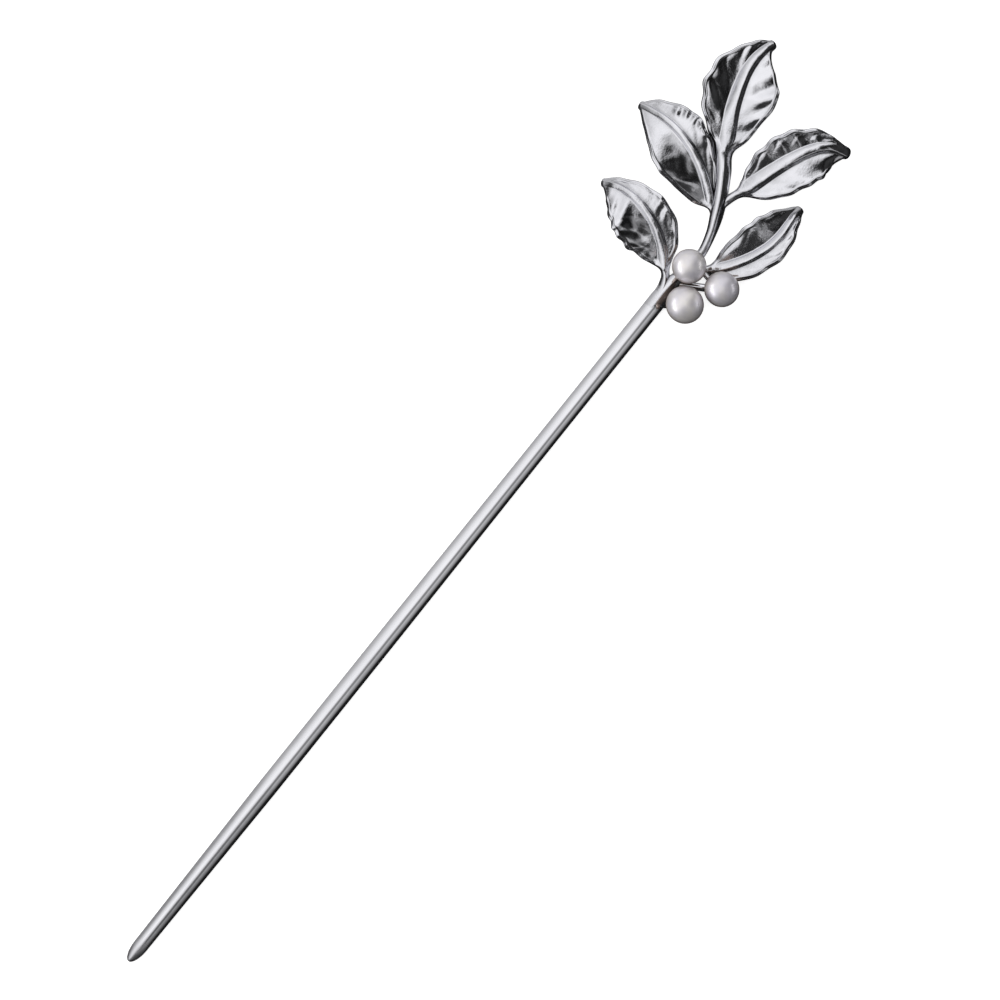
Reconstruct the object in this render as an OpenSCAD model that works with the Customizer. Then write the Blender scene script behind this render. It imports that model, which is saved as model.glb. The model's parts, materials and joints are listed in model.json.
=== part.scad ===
// Hair stick with a spray of leaves and three pearls.
// A round metal stick runs into a main stem that carries the top leaf. Four more leaves branch off
// it, and three half-drilled pearls sit on pegs round the fork. The metal is cast and soldered, so
// it is one solid; each pearl is a solid of its own.
// The tables use the fork as their zero: X runs along the stick towards the leaves, Y to the left
// and Z up from the surface that the stick lies on, face up. The finished part is then moved so
// that its origin is the middle of its footprint, on that surface.

/* [Stick] */
// Diameter of the round stick at its thickest, in the lower half
stick_d = 3.0; // [2.9:0.1:3.2]
// Diameter of the stick at the fork
neck_d = 2.8; // [2.6:0.1:2.8]
// Length of the stick, from its point to the fork
stick_len = 130; // [120:1:150]
// Length of the even stretch below the fork
neck_len = 32; // [20:1:40]
// Length of the thickest stretch, a true cylinder
shank_len = 30; // [20:1:35]
// Length of the tapered end
taper_len = 34; // [25:1:40]
// Diameter of the taper where the rounded point begins
point_d = 2.2; // [1.6:0.1:2.3]

/* [Leaves] */
// Thickness of a leaf blade
blade_t = 0.9; // [0.7:0.05:0.9]
// Thickness of a leaf at its rim
rim_t = 0.5; // [0.4:0.05:0.7]
// Height of the rib above the grooves beside it
rib_h = 0.6; // [0.4:0.05:0.8]
// Half width of the rib where the blade begins
rib_base = 0.85; // [0.7:0.05:1.0]
// Half width of the rib at the leaf's tip
rib_tip = 0.4; // [0.3:0.05:0.5]
// Depth of the waves between the side veins
wave_depth = 0.35; // [0:0.05:0.45]
// Number of waves along each half of a leaf
waves = 6; // [4:1:7]

/* [Pearls] */
// Diameter of the pearl beside the stick
low_pearl_d = 5.8; // [5.4:0.1:5.8]
// Diameter of the pearl on the main stem
top_pearl_d = 5.3; // [5.0:0.1:5.3]
// Diameter of the pearl at the right
right_pearl_d = 5.4; // [5.0:0.1:5.4]
// Diameter of the peg inside a pearl
peg_d = 0.9; // [0.7:0.1:1.2]
// Clearance between a pearl and its metal
pearl_gap = 0.06; // [0.03:0.01:0.1]

/* [Hidden] */
silver = [0.80, 0.80, 0.82];
pearl_white = [0.86, 0.84, 0.85];
stick_r = stick_d / 2;

// Leaf tables, one row for each section along the rib.
// Columns: x, y, z of the rib's middle, then the half widths to the left and to the right of it.
top_rows = [
    [-1.5,  0.0, 1.5, 1.35, 1.35],
    [ 1.2, -0.1, 1.4, 1.20, 1.20],
    [ 4.2, -0.5, 1.2, 0.90, 0.90],
    [ 7.7, -0.6, 1.3, 0.72, 0.72],
    [10.9,  0.1, 1.7, 0.80, 0.80],
    [13.6,  1.2, 2.0, 1.00, 1.00],
    [16.4,  2.5, 2.3, 1.10, 1.10],
    [19.3,  4.3, 2.6, 1.20, 1.20],
    [21.8,  6.1, 2.8, 1.50, 1.40],
    [24.0,  7.3, 3.1, 2.80, 3.50],
    [27.1,  9.0, 3.4, 4.40, 5.30],
    [30.0, 10.2, 3.4, 5.40, 5.90],
    [33.1, 11.1, 3.1, 4.90, 5.60],
    [35.9, 11.3, 2.5, 2.90, 3.80],
    [38.0, 11.0, 1.7, 1.60, 1.30],
    [39.6, 10.5, 0.9, 0.40, 0.40]
];
upper_left_rows = [
    [12.5,  0.7, 1.8, 0.62, 0.62],
    [14.1,  2.2, 1.7, 0.70, 0.70],
    [15.3,  3.8, 1.8, 2.80, 1.50],
    [16.9,  6.0, 2.3, 4.40, 2.20],
    [18.4,  8.7, 2.9, 5.60, 3.00],
    [19.3, 11.1, 3.3, 5.90, 3.60],
    [19.9, 13.8, 3.1, 5.50, 3.80],
    [20.1, 16.5, 2.4, 4.20, 2.80],
    [19.9, 18.9, 1.4, 2.30, 1.70],
    [19.5, 20.7, 0.3, 0.35, 0.35]
];
lower_left_rows = [
    [-1.6,  0.2, 1.5, 0.80, 0.80],
    [ 0.6,  0.7, 1.6, 0.70, 0.70],
    [ 2.4,  2.1, 1.7, 0.70, 0.70],
    [ 3.9,  3.7, 1.9, 2.90, 1.90],
    [ 5.3,  5.3, 2.4, 4.70, 2.90],
    [ 6.6,  7.6, 3.0, 5.40, 3.40],
    [ 7.5, 10.1, 3.3, 5.70, 3.30],
    [ 7.9, 12.5, 3.1, 5.20, 2.60],
    [ 7.8, 14.8, 2.5, 4.30, 1.60],
    [ 7.4, 16.4, 1.8, 2.70, 1.00],
    [ 6.8, 17.7, 1.1, 0.40, 0.40]
];
upper_right_rows = [
    [14.0,  1.6, 2.0, 0.55, 0.55],
    [16.4,  1.3, 1.9, 0.60, 0.60],
    [18.6,  0.5, 2.0, 0.70, 0.70],
    [20.6, -0.2, 2.3, 1.80, 2.50],
    [22.8, -0.9, 2.7, 3.20, 3.80],
    [25.2, -1.7, 3.1, 4.00, 4.50],
    [27.8, -2.7, 3.1, 4.20, 4.80],
    [30.0, -3.8, 2.7, 3.40, 4.70],
    [31.7, -5.1, 2.0, 2.40, 4.20],
    [32.8, -6.7, 1.1, 1.10, 3.00],
    [33.2, -8.6, 0.3, 0.45, 0.50]
];
lower_right_rows = [
    [ 3.6, -0.3, 1.2, 0.70, 0.70],
    [ 5.4, -2.0, 1.1, 0.65, 0.65],
    [ 6.9, -3.4, 1.1, 0.80, 0.80],
    [ 8.2, -4.6, 1.3, 2.40, 2.00],
    [10.2, -6.0, 1.9, 3.70, 2.90],
    [12.5, -7.2, 2.6, 4.40, 2.95],
    [14.9, -8.0, 2.9, 4.60, 2.95],
    [17.3, -8.3, 2.8, 4.30, 2.50],
    [19.5, -8.2, 2.3, 3.30, 1.80],
    [21.2, -8.1, 1.6, 1.60, 1.20],
    [22.4, -8.2, 0.9, 0.50, 0.50]
];

// The five leaves.
// Columns: rows, index of the row where the stem opens into the blade, then the angles at which the
// left and the right half rise from the rib.
LEAVES = [
    [top_rows,         8,  9, 11],
    [upper_left_rows,  1,  9, 12],
    [lower_left_rows,  2,  9, 12],
    [upper_right_rows, 2, 12, 12],
    [lower_right_rows, 2, 13, 13]
];

// The pearls.
// Columns: centre, diameter, height where the foot of its seat begins.
PEARLS = [
    [[0.0, -3.6, 4.5], low_pearl_d, 0.8],
    [[4.9, -0.5, 4.9], top_pearl_d, 1.3],
    [[5.3, -6.5, 4.3], right_pearl_d, 0.8]
];
// Radius of a seat's foot
foot_r = 0.95;
// How far the drilling goes past a pearl's middle
drill_past = 0.3;
// The short arms that carry the low pearl and the right pearl
arm_r = 0.6;
low_arm_from = [-2.2, -0.5, 0.9];
low_arm_to = [0.0, -3.6, 0.85];
right_arm_from = [5.9, -2.5, 1.0];
right_arm_to = [5.3, -6.5, 0.85];

// Points of a section. The upper side runs from the left rim over the rib to the right rim as
// [side, share of the blade's width, share of the rib's width, share of the rib's height].
UPPER = [
    [-1, 1.00, 1, 0], [-1, 0.84, 1, 0], [-1, 0.58, 1, 0], [-1, 0.28, 1, 0], [-1, 0, 1, 0],
    [-1, 0, 0.5, 0.8], [0, 0, 0, 1], [1, 0, 0.5, 0.8],
    [1, 0, 1, 0], [1, 0.28, 1, 0], [1, 0.58, 1, 0], [1, 0.84, 1, 0], [1, 1.00, 1, 0]
];
// The under side runs back as [side, share of the blade's width, share of the rib's width].
LOWER = [[1, 1, 1], [1, 0.6, 1], [1, 0.2, 1], [0, 0, 0], [-1, 0.2, 1], [-1, 0.6, 1], [-1, 1, 1]];
upper_n = len(UPPER);
ring_n = upper_n + len(LOWER);
// Sections between two rows of a table
steps = 3;
// Angle at the stem's middle from the top of a round section to its last upper point
upper_reach = 78;
// How far the grooves lean forward towards the rim, in waves
wave_lean = 1.5;
// Shares of a leaf's length in which its halves begin to rise, and in which they come down again
base_share = 0.1;
end_share = 0.2;
// Largest half width of the rib, as a share of the narrower half
rib_most = 0.8;
// Height of the rib and thickness of the blade that are left at the tip, as shares
tip_rib = 0.35;
tip_blade = 0.65;
// Share of a leaf's length over which the tip thins
tip_share = 0.3;
// Part of a wave's depth that lies below the plain blade
wave_mean = 0.6;
// Share of a half's rise that its rim turns down again, and how late it turns, as a power
rim_drop = 0.25;
rim_turn = 6;

function smooth(a) = let (t = max(0, min(1, a))) t * t * (3 - 2 * t);

// A table's row at a place t between its rows, on a smooth curve through all of them
function row_at(rows, t) =
    let (
        last = len(rows) - 1,
        i = min(floor(t), last - 1),
        f = t - i,
        p0 = rows[max(i - 1, 0)],
        p1 = rows[i],
        p2 = rows[i + 1],
        p3 = rows[min(i + 2, last)]
    )
    (2 * p1 + (p2 - p0) * f + (2 * p0 - 5 * p1 + 4 * p2 - p3) * f * f
        + (3 * p1 - p0 - 3 * p2 + p3) * f * f * f) / 2;

// Unit vector along the rib, seen from above
function heading(rows, t) =
    let (
        last = len(rows) - 1,
        a = row_at(rows, max(t - 0.1, 0)),
        b = row_at(rows, min(t + 0.1, last)),
        d = [b.x - a.x, b.y - a.y]
    )
    d / norm(d);

// A size's share at a place along the leaf: whole, then less towards the tip
function thinned(at_tip, along) = at_tip + (1 - at_tip) * smooth((1 - along) / tip_share);

// Height of a half blade above the rib's foot, u from the rib (0) to the rim (1). It rises straight
// by run and turns down at the rim, with pillows between the grooves of the side veins.
function blade_height(run, u, along) =
    run * u * (1 + rim_drop - rim_drop * pow(u, rim_turn))
        + wave_depth * sin(180 * along) * u * (abs(sin(180 * (waves * along - wave_lean * u))) - wave_mean);

// One section as a ring of points
function ring(leaf, t) =
    let (
        rows = leaf[0],
        first = leaf[1],
        row = row_at(rows, t),
        ahead = heading(rows, t),
        left = [-ahead.y, ahead.x],
        along = max(0, (t - first) / (len(rows) - 1 - first)),
        open = smooth(t - first),
        width = [row[3], row[4]],
        grow = smooth(along / base_share) * smooth((1 - along) / end_share),
        rib_w = min(rib_base + (rib_tip - rib_base) * along, min(width) * rib_most),
        rise = rib_h * thinned(tip_rib, along),
        body_t = blade_t * thinned(tip_blade, along),
        edge_t = min(rim_t, body_t),
        flat_pts = concat(
            [for (p = UPPER)
                let (
                    w = p[0] < 0 ? width[0] : width[1],
                    run = tan(p[0] < 0 ? leaf[2] : leaf[3]) * (w - rib_w) * grow,
                    t_here = body_t + (edge_t - body_t) * p[1]
                )
                [-p[0] * (rib_w * p[2] + (w - rib_w) * p[1]),
                 t_here / 2 + rise * p[3] + blade_height(run, p[1], along)]],
            [for (p = LOWER)
                let (
                    w = p[0] < 0 ? width[0] : width[1],
                    run = tan(p[0] < 0 ? leaf[2] : leaf[3]) * (w - rib_w) * grow,
                    t_here = body_t + (edge_t - body_t) * p[1]
                )
                [-p[0] * (rib_w * p[2] + (w - rib_w) * p[1]),
                 -t_here / 2 + blade_height(run, p[1], along)]]
        ),
        round_pts = [for (k = [0 : ring_n - 1])
            let (
                a = k < upper_n
                    ? -upper_reach + 2 * upper_reach * k / (upper_n - 1)
                    : 180 - upper_reach + 2 * upper_reach * (k - upper_n) / (ring_n - upper_n - 1)
            )
            [-sin(a) * (sin(a) < 0 ? width[0] : width[1]), cos(a) * min(width)]]
    )
    [for (k = [0 : ring_n - 1])
        let (q = round_pts[k] * (1 - open) + flat_pts[k] * open)
        [row.x + left.x * q.x, row.y + left.y * q.x, row.z + q.y]];

function rings(leaf) = [for (k = [0 : (len(leaf[0]) - 1) * steps]) ring(leaf, k / steps)];

RINGS = [for (leaf = LEAVES) rings(leaf)];
ALL_POINTS = [for (leaf = RINGS) for (one = leaf) for (p = one) p];
x_max = max([for (p = ALL_POINTS) p.x]);
y_max = max([for (p = ALL_POINTS) p.y]);
y_min = min([for (p = ALL_POINTS) p.y]);
// Middle of the footprint, seen from above
middle = [(x_max - stick_len) / 2, (y_max + y_min) / 2, 0];

module leaf(points) {
    n = len(points);
    polyhedron(
        points = [for (one = points) for (p = one) p],
        faces = concat(
            [[for (k = [0 : ring_n - 1]) k]],
            [for (i = [0 : n - 2]) for (k = [0 : ring_n - 1])
                let (a = i * ring_n + k, b = i * ring_n + (k + 1) % ring_n)
                each [[a, a + ring_n, b + ring_n], [a, b + ring_n, b]]],
            [[for (k = [ring_n - 1 : -1 : 0]) (n - 1) * ring_n + k]]
        )
    );
}

// The stick: even below the fork, a little thicker lower down, then tapered to a rounded point
module stick() {
    point_r = point_d / 2;
    swell_end = stick_len - taper_len - shank_len;
    translate([0, 0, stick_r]) rotate([0, -90, 0]) {
        translate([0, 0, neck_d / 2]) {
            sphere(d = neck_d, $fn = 64);
            cylinder(d = neck_d, h = neck_len - neck_d / 2, $fn = 64);
        }
        translate([0, 0, neck_len]) cylinder(d1 = neck_d, d2 = stick_d, h = swell_end - neck_len, $fn = 64);
        translate([0, 0, swell_end]) cylinder(d = stick_d, h = shank_len, $fn = 64);
        translate([0, 0, stick_len - taper_len])
            cylinder(d1 = stick_d, d2 = point_d, h = taper_len - point_r, $fn = 64);
        translate([0, 0, stick_len - point_r]) sphere(r = point_r, $fn = 64);
    }
}

// The five leaves with their stems and the pearls' arms. Their blades run into one another at the
// stems, so they are joined into one mesh, which resize leaves at its own size.
module spray() resize([0, 0, 0]) {
    for (points = RINGS) leaf(points);
    bar(low_arm_from, low_arm_to, arm_r, $fn = 16);
    bar(right_arm_from, right_arm_to, arm_r, $fn = 16);
}

// A round bar between two points, with round ends
module bar(a, b, r) {
    d = b - a;
    translate(a) rotate([0, acos(d.z / norm(d)), atan2(d.y, d.x)]) cylinder(r = r, h = norm(d));
    translate(b) sphere(r = r);
}

// A pearl's seat: a short foot, hollowed to the pearl, and the peg that the pearl is glued on
module seat(row) {
    at = row[0];
    pearl_r = row[1] / 2;
    foot_z = row[2];
    difference() {
        translate([at.x, at.y, foot_z])
            cylinder(r = foot_r, h = at.z - foot_z - sqrt(pearl_r * pearl_r - foot_r * foot_r), $fn = 48);
        translate(at) sphere(r = pearl_r + pearl_gap, $fn = 96);
    }
    translate([at.x, at.y, foot_z]) cylinder(d = peg_d, h = at.z - foot_z, $fn = 32);
}

// A pearl, drilled from below to just past its middle
module pearl(row) {
    at = row[0];
    pearl_d = row[1];
    difference() {
        translate(at) sphere(d = pearl_d, $fn = 96);
        translate([at.x, at.y, at.z - pearl_d])
            cylinder(d = peg_d + 2 * pearl_gap, h = pearl_d + drill_past, $fn = 32);
    }
}

module leaf_stick() color(silver) translate(-middle) {
    stick();
    spray();
    for (one = PEARLS) seat(one);
}

module pearl_low() color(pearl_white) translate(-middle) pearl(PEARLS[0]);
module pearl_top() color(pearl_white) translate(-middle) pearl(PEARLS[1]);
module pearl_right() color(pearl_white) translate(-middle) pearl(PEARLS[2]);

leaf_stick();
pearl_top();
pearl_right();
pearl_low();
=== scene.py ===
# %% [markdown]
# # A hair stick with a spray of leaves and three pearls
# The real thing is a slim polished stick that runs into a cast spray of five leaves, all of it
# plated in a bright silver colour. Three pearls sit where the lower stems fork.
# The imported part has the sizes, and this lesson gives it its looks. The stick, the leaves and the
# pearls are made again in the same places as finer meshes, because a mirror finish shows every
# flat facet of a coarse one.

import json
import math

import bpy
import numpy as np
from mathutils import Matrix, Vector, noise


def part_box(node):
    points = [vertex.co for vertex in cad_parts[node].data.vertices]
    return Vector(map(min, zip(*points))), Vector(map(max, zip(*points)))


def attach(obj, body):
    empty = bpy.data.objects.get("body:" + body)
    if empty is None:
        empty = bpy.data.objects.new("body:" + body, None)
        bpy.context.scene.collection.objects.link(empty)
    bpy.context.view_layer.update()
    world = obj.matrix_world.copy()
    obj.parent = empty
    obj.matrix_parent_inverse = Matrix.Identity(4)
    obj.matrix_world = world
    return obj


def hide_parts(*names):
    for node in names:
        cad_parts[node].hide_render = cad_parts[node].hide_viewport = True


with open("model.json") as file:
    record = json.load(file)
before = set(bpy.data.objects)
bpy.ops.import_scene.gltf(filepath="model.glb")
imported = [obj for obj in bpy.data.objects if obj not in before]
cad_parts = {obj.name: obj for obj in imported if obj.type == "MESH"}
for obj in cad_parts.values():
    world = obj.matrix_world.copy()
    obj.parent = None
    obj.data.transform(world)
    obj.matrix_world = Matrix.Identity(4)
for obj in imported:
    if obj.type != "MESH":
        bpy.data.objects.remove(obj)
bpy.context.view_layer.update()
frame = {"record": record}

# %% [markdown]
# The tables below are in millimetres and count from the fork, where the stick ends and the stems
# part. X runs along the stick towards the leaves, Y to the left and Z up from the table top.
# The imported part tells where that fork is: its stick is 130 mm long, and the stick's axis is the
# axis of the mount named shaft.

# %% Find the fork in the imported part
MM = 0.001
STICK_LENGTH = 130.0        # mm, from the stick's point to the fork
shaft = frame["record"]["mounts"][0]
fork = Vector((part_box("leaf_stick")[0].x + STICK_LENGTH * MM, shaft["pos_m"][1], 0.0))
print("fork, mm:", [round(c / MM, 3) for c in fork])


def to_metres(points):
    """Points in millimetres from the fork, as points in the row frame."""
    return np.asarray(points, float) * MM + np.array(fork)


# %% [markdown]
# Every piece here is a skin drawn through rings of points, so one function makes them all. It
# joins each ring to the next with four-sided faces and closes both ends. Smooth shading then hides
# the joins, which is what polished metal and pearl need.

# %% A mesh from rings of points
def volume(rings):
    """Rough volume inside rings of points, below zero when the faces made from them look outwards."""
    middles = rings.mean(axis=1)
    spokes = rings - middles[:, None]
    area = np.cross(spokes, np.roll(spokes, -1, axis=1)).sum(axis=1)
    return float((area[:-1] * np.diff(middles, axis=0)).sum())


def skin(name, rings, material, node):
    """A closed, smooth piece through rings of points (sections, points, xyz), in mm from the fork."""
    rings = np.asarray(rings, float)
    if volume(rings) > 0:
        rings = rings[::-1]
    sections, around, _ = rings.shape
    index = np.arange(sections * around).reshape(sections, around)
    after = np.roll(index, -1, axis=1)
    walls = np.stack([index[:-1], index[1:], after[1:], after[:-1]], axis=-1).reshape(-1, 4)
    faces = walls.tolist() + [index[0].tolist(), index[-1][::-1].tolist()]
    mesh = bpy.data.meshes.new(name)
    mesh.from_pydata(to_metres(rings.reshape(-1, 3)).tolist(), [], faces)
    mesh.update()
    mesh.shade_smooth()
    piece = bpy.data.objects.new(name, mesh)
    bpy.context.scene.collection.objects.link(piece)
    piece.data.materials.append(material)
    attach(piece, "root")
    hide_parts(node)
    print(f"{name}: {sections} rings of {around} points, {2 * len(walls)} triangles in its walls")


# %% [markdown]
# Colours are written as hex values, the way a paint chart gives them. Blender's shaders work in
# linear light, so one function converts them. Another small function adds a shader node with its
# settings and its links, which keeps each material short enough to read at a glance.

# %% Colour and node helpers
def linear(value):
    """An sRGB value from 0 to 1 as linear light."""
    return value / 12.92 if value <= 0.04045 else ((value + 0.055) / 1.055) ** 2.4


def colour(code):
    """A hex colour such as #C0C0C0 as linear red, green, blue and alpha."""
    return (*[linear(int(code[i:i + 2], 16) / 255) for i in (1, 3, 5)], 1.0)


def add(tree, kind, inputs=None, **settings):
    """Adds a node, sets its properties, then sets each input to a value or links it to a socket."""
    made = tree.nodes.new(kind)
    for name, value in settings.items():
        setattr(made, name, value)
    for name, value in (inputs or {}).items():
        if isinstance(value, bpy.types.NodeSocket):
            tree.links.new(value, made.inputs[name])
        else:
            made.inputs[name].default_value = value
    return made


def new_material(name, inputs):
    """A node material whose Principled shader has these inputs and is joined to the output."""
    material = bpy.data.materials.new(name)
    material.use_nodes = True
    tree = material.node_tree
    tree.nodes.clear()
    shader = add(tree, "ShaderNodeBsdfPrincipled", inputs)
    add(tree, "ShaderNodeOutputMaterial", {"Surface": shader.outputs["BSDF"]})
    return material, tree, shader


# %% [markdown]
# ## The metal
# The real metal is brass with a bright silver-coloured plating. The stick is turned from a rod and
# polished until it mirrors the room, so it needs a clean, slightly cool grey and very low
# roughness. Wide soft patches where hands have dulled it keep it from looking like a perfect
# mirror, and so does a shallow waviness from the buffing wheel, which is stronger in some patches
# than in others. Where two surfaces come close, the colour is painted darker: a painted shade
# for the shade that falls in those recesses. An ambient occlusion node finds those places.

# %% Polished silver plate for the stick, the seats and the arms
PATCH_SIZE = 6.0            # mm, a patch dulled by handling
PATCH_EDGE = (0.35, 0.7)    # noise values between which the polish goes from bright to dulled
PATCH_GAIN = 1.7            # how many times rougher a dulled patch is
POLISH_WAVE = 1.6           # mm, distance between the shallow waves left by the buffing wheel
POLISH_WAVE_H = 0.008       # mm, height of these waves
GRAIN_EDGE = (0.4, 0.6)     # noise values between which waves and grain go from weak to full
GRAIN_LEAST = 0.3           # their strength where they are weak
PAINTED_SHADE_REACH = 0.9           # mm, how close a surface has to be to get the painted shade
PAINTED_SHADE_EDGE = (0.35, 0.9)   # how open a place is where the painted shade is darkest, and where it ends
PAINTED_SHADE_RAYS = 8             # rays that look for close surfaces


def per_metre(size_mm):
    """Noise scale that makes features of this size."""
    return 1.0 / (size_mm * MM)


def silver_plate(name, roughness, grain_size, grain_height, bright, dull, painted_shade_colour):
    """Silver-coloured plating: roughness, a grain of a size and height in mm, and hex colours, the last a
    painted shade for recesses.
    """
    material, tree, shader = new_material(name, {"Metallic": 1.0})
    place = add(tree, "ShaderNodeTexCoord").outputs["Object"]
    patches = add(tree, "ShaderNodeTexNoise", {
        "Vector": place, "Scale": per_metre(PATCH_SIZE), "Detail": 3.0}).outputs["Fac"]
    grain = add(tree, "ShaderNodeTexNoise", {
        "Vector": place, "Scale": per_metre(grain_size), "Detail": 2.0}).outputs["Fac"]
    tint = add(tree, "ShaderNodeMix", {
        "Factor": patches, "A": colour(bright), "B": colour(dull)}, data_type="RGBA")
    # Painted shade: where ambient occlusion finds surfaces close by, the colour turns to the dark shade
    # colour.
    shade_finder = add(tree, "ShaderNodeAmbientOcclusion", {"Distance": PAINTED_SHADE_REACH * MM}, samples=PAINTED_SHADE_RAYS)
    unshaded = add(tree, "ShaderNodeMapRange", {
        "Value": shade_finder.outputs["AO"], "From Min": PAINTED_SHADE_EDGE[0], "From Max": PAINTED_SHADE_EDGE[1]})
    plated = add(tree, "ShaderNodeMix", {
        "Factor": unshaded.outputs["Result"], "A": colour(painted_shade_colour), "B": tint.outputs["Result"],
    }, data_type="RGBA")
    dulled = add(tree, "ShaderNodeMapRange", {
        "Value": patches, "From Min": PATCH_EDGE[0], "From Max": PATCH_EDGE[1],
        "To Min": roughness, "To Max": roughness * PATCH_GAIN})
    grainy = add(tree, "ShaderNodeMapRange", {
        "Value": patches, "From Min": GRAIN_EDGE[0], "From Max": GRAIN_EDGE[1], "To Min": GRAIN_LEAST})
    relief = add(tree, "ShaderNodeBump", {
        "Height": grain, "Distance": grain_height * MM, "Strength": grainy.outputs["Result"]})
    tree.links.new(plated.outputs["Result"], shader.inputs["Base Color"])
    tree.links.new(dulled.outputs["Result"], shader.inputs["Roughness"])
    tree.links.new(relief.outputs["Normal"], shader.inputs["Normal"])
    print("material:", name)
    return material


# The colour for recesses here is a painted shade, where surfaces come close.
polished_plate = silver_plate(
    "polished_silver_plate", roughness=0.07, grain_size=POLISH_WAVE, grain_height=POLISH_WAVE_H,
    bright="#F3F3F7", dull="#E2E2E7", painted_shade_colour="#8A8A90")

# %% [markdown]
# ## The stick
# The stick is one turned bar. From the fork it runs at 2.8 mm for a while, swells to 3.0 mm in its
# lower half, then tapers slowly and ends in a long round nose, half an ellipse, that slips between
# the hairs. A list of stations, each with a distance and a diameter, gives its outline. At close
# steps along the bar the radius is read off that outline and drawn as a ring of points, which is
# simpler than any modifier and keeps the exact sizes.

# %% Turn the stick
NECK_D, SHANK_D, NOSE_D = 2.8, 3.0, 2.36    # mm, at the fork, at its thickest, where the nose begins
NOSE_LENGTH = 3.1                           # mm
NOSE = STICK_LENGTH - NOSE_LENGTH
SHANK_Z = shaft["pos_m"][2] / MM            # height of the stick's axis
STATIONS = (
    # distance below the fork, diameter
    (0.0, NECK_D),
    (32.0, NECK_D),
    (66.0, SHANK_D),
    (96.0, SHANK_D),
    (112.0, 2.68),
    (NOSE, NOSE_D),
)
STICK_TOP = 1.6             # mm below the fork, where the bar ends inside the main stem
TINY = 1e-6                 # keeps the square roots at the two ends above zero


def turned(outline, along, axis_z, around=64):
    """Rings round a line along -X at height axis_z: outline gives a radius for each distance in along."""
    angles = np.linspace(0, 2 * math.pi, around, endpoint=False)
    rings = []
    for distance in along:
        r = outline(distance)
        rings.append(np.stack([
            np.full(around, -distance), r * np.cos(angles), axis_z + r * np.sin(angles)], 1))
    return rings


def stick_radius(distance):
    """Radius of the stick at a distance below the fork, with both ends rounded."""
    straight = np.interp(distance, [s[0] for s in STATIONS], [s[1] for s in STATIONS]) / 2
    top = STICK_TOP + NECK_D / 2 - distance
    past = (distance - NOSE) / NOSE_LENGTH
    if top > 0:
        return math.sqrt(max(straight ** 2 - top ** 2, TINY))
    if past > 0:
        return NOSE_D / 2 * math.sqrt(max(1 - past ** 2, TINY))
    return float(straight)


END_RINGS, BAR_RINGS = 14, 240      # rings round each end of the stick, and along the rest of it
FIRST_TURN = 0.05                   # radians round the end to its first ring
round_end = 1 - np.cos(np.linspace(FIRST_TURN, math.pi / 2, END_RINGS))
ring_places = np.concatenate([
    STICK_TOP + NECK_D / 2 * round_end,
    np.linspace(STICK_TOP + NECK_D / 2, NOSE, BAR_RINGS)[1:],
    STICK_LENGTH - NOSE_LENGTH * round_end[::-1][1:],
])
skin("stick", turned(stick_radius, ring_places, SHANK_Z), polished_plate, "leaf_stick")

# %% [markdown]
# The nose is the part that rubs on combs and hair, so its mirror has gone soft. The roughness
# climbs over a few millimetres, by a ramp along X that starts just before the nose.

# %% Wear the nose
WEAR = (124.0, 127.5)       # mm below the fork, where the wear begins and where it is full
WORN_ROUGHNESS = 0.42


def wear_nose(material):
    """Makes a finish rougher towards the end of the stick."""
    tree = material.node_tree
    rough = tree.nodes["Principled BSDF"].inputs["Roughness"]
    polish = rough.links[0].from_socket
    place = add(tree, "ShaderNodeTexCoord").outputs["Object"]
    along = add(tree, "ShaderNodeSeparateXYZ", {"Vector": place}).outputs["X"]
    begins, ends = (fork.x - distance * MM for distance in WEAR)
    worn = add(tree, "ShaderNodeMapRange", {
        "Value": along, "From Min": begins, "From Max": ends, "To Max": WORN_ROUGHNESS})
    rougher = add(tree, "ShaderNodeMath", {0: polish, 1: worn.outputs["Result"]}, operation="MAXIMUM")
    tree.links.new(rougher.outputs["Value"], rough)
    print("worn from, mm below the fork:", WEAR[0])


wear_nose(polished_plate)

# %% [markdown]
# ## The leaves
# Each leaf is cast with its stem, and has a raised rib, side veins and a rim that turns down. A
# table follows its rib from the foot of the stem to the tip: where the rib's middle is, and how
# far the metal reaches to each side. Places and widths were measured on the photo and rounded.
# The heights can't be seen from above, and are guessed from the shading.

# %% Tables of the leaves
# Columns: x, y, z of the rib's middle, then the half widths to the left and to the right of it.
TOP = (
    (-5.0, 0.0, 1.5, 1.37, 1.37),
    (-3.4, 0.0, 1.5, 1.40, 1.40),
    (-1.4, 0.0, 1.5, 1.40, 1.40),
    (1.2, -0.1, 1.4, 1.25, 1.25),
    (4.2, -0.5, 1.2, 0.90, 0.90),
    (7.7, -0.7, 1.3, 0.72, 0.72),
    (10.9, 0.0, 1.7, 0.80, 0.80),
    (13.6, 1.1, 2.0, 1.00, 1.05),
    (16.4, 2.5, 2.3, 1.10, 1.10),
    (19.3, 4.3, 2.6, 1.20, 1.20),
    (21.8, 6.1, 2.8, 1.50, 1.35),
    (24.0, 7.3, 3.1, 2.90, 3.30),
    (27.1, 9.0, 3.4, 4.60, 5.20),
    (30.0, 10.2, 3.4, 5.40, 6.10),
    (33.1, 11.1, 3.1, 4.75, 5.70),
    (35.9, 11.3, 2.5, 3.00, 3.85),
    (38.0, 11.0, 1.7, 1.75, 1.35),
    (39.3, 10.6, 0.9, 0.60, 0.60),
)
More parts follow.
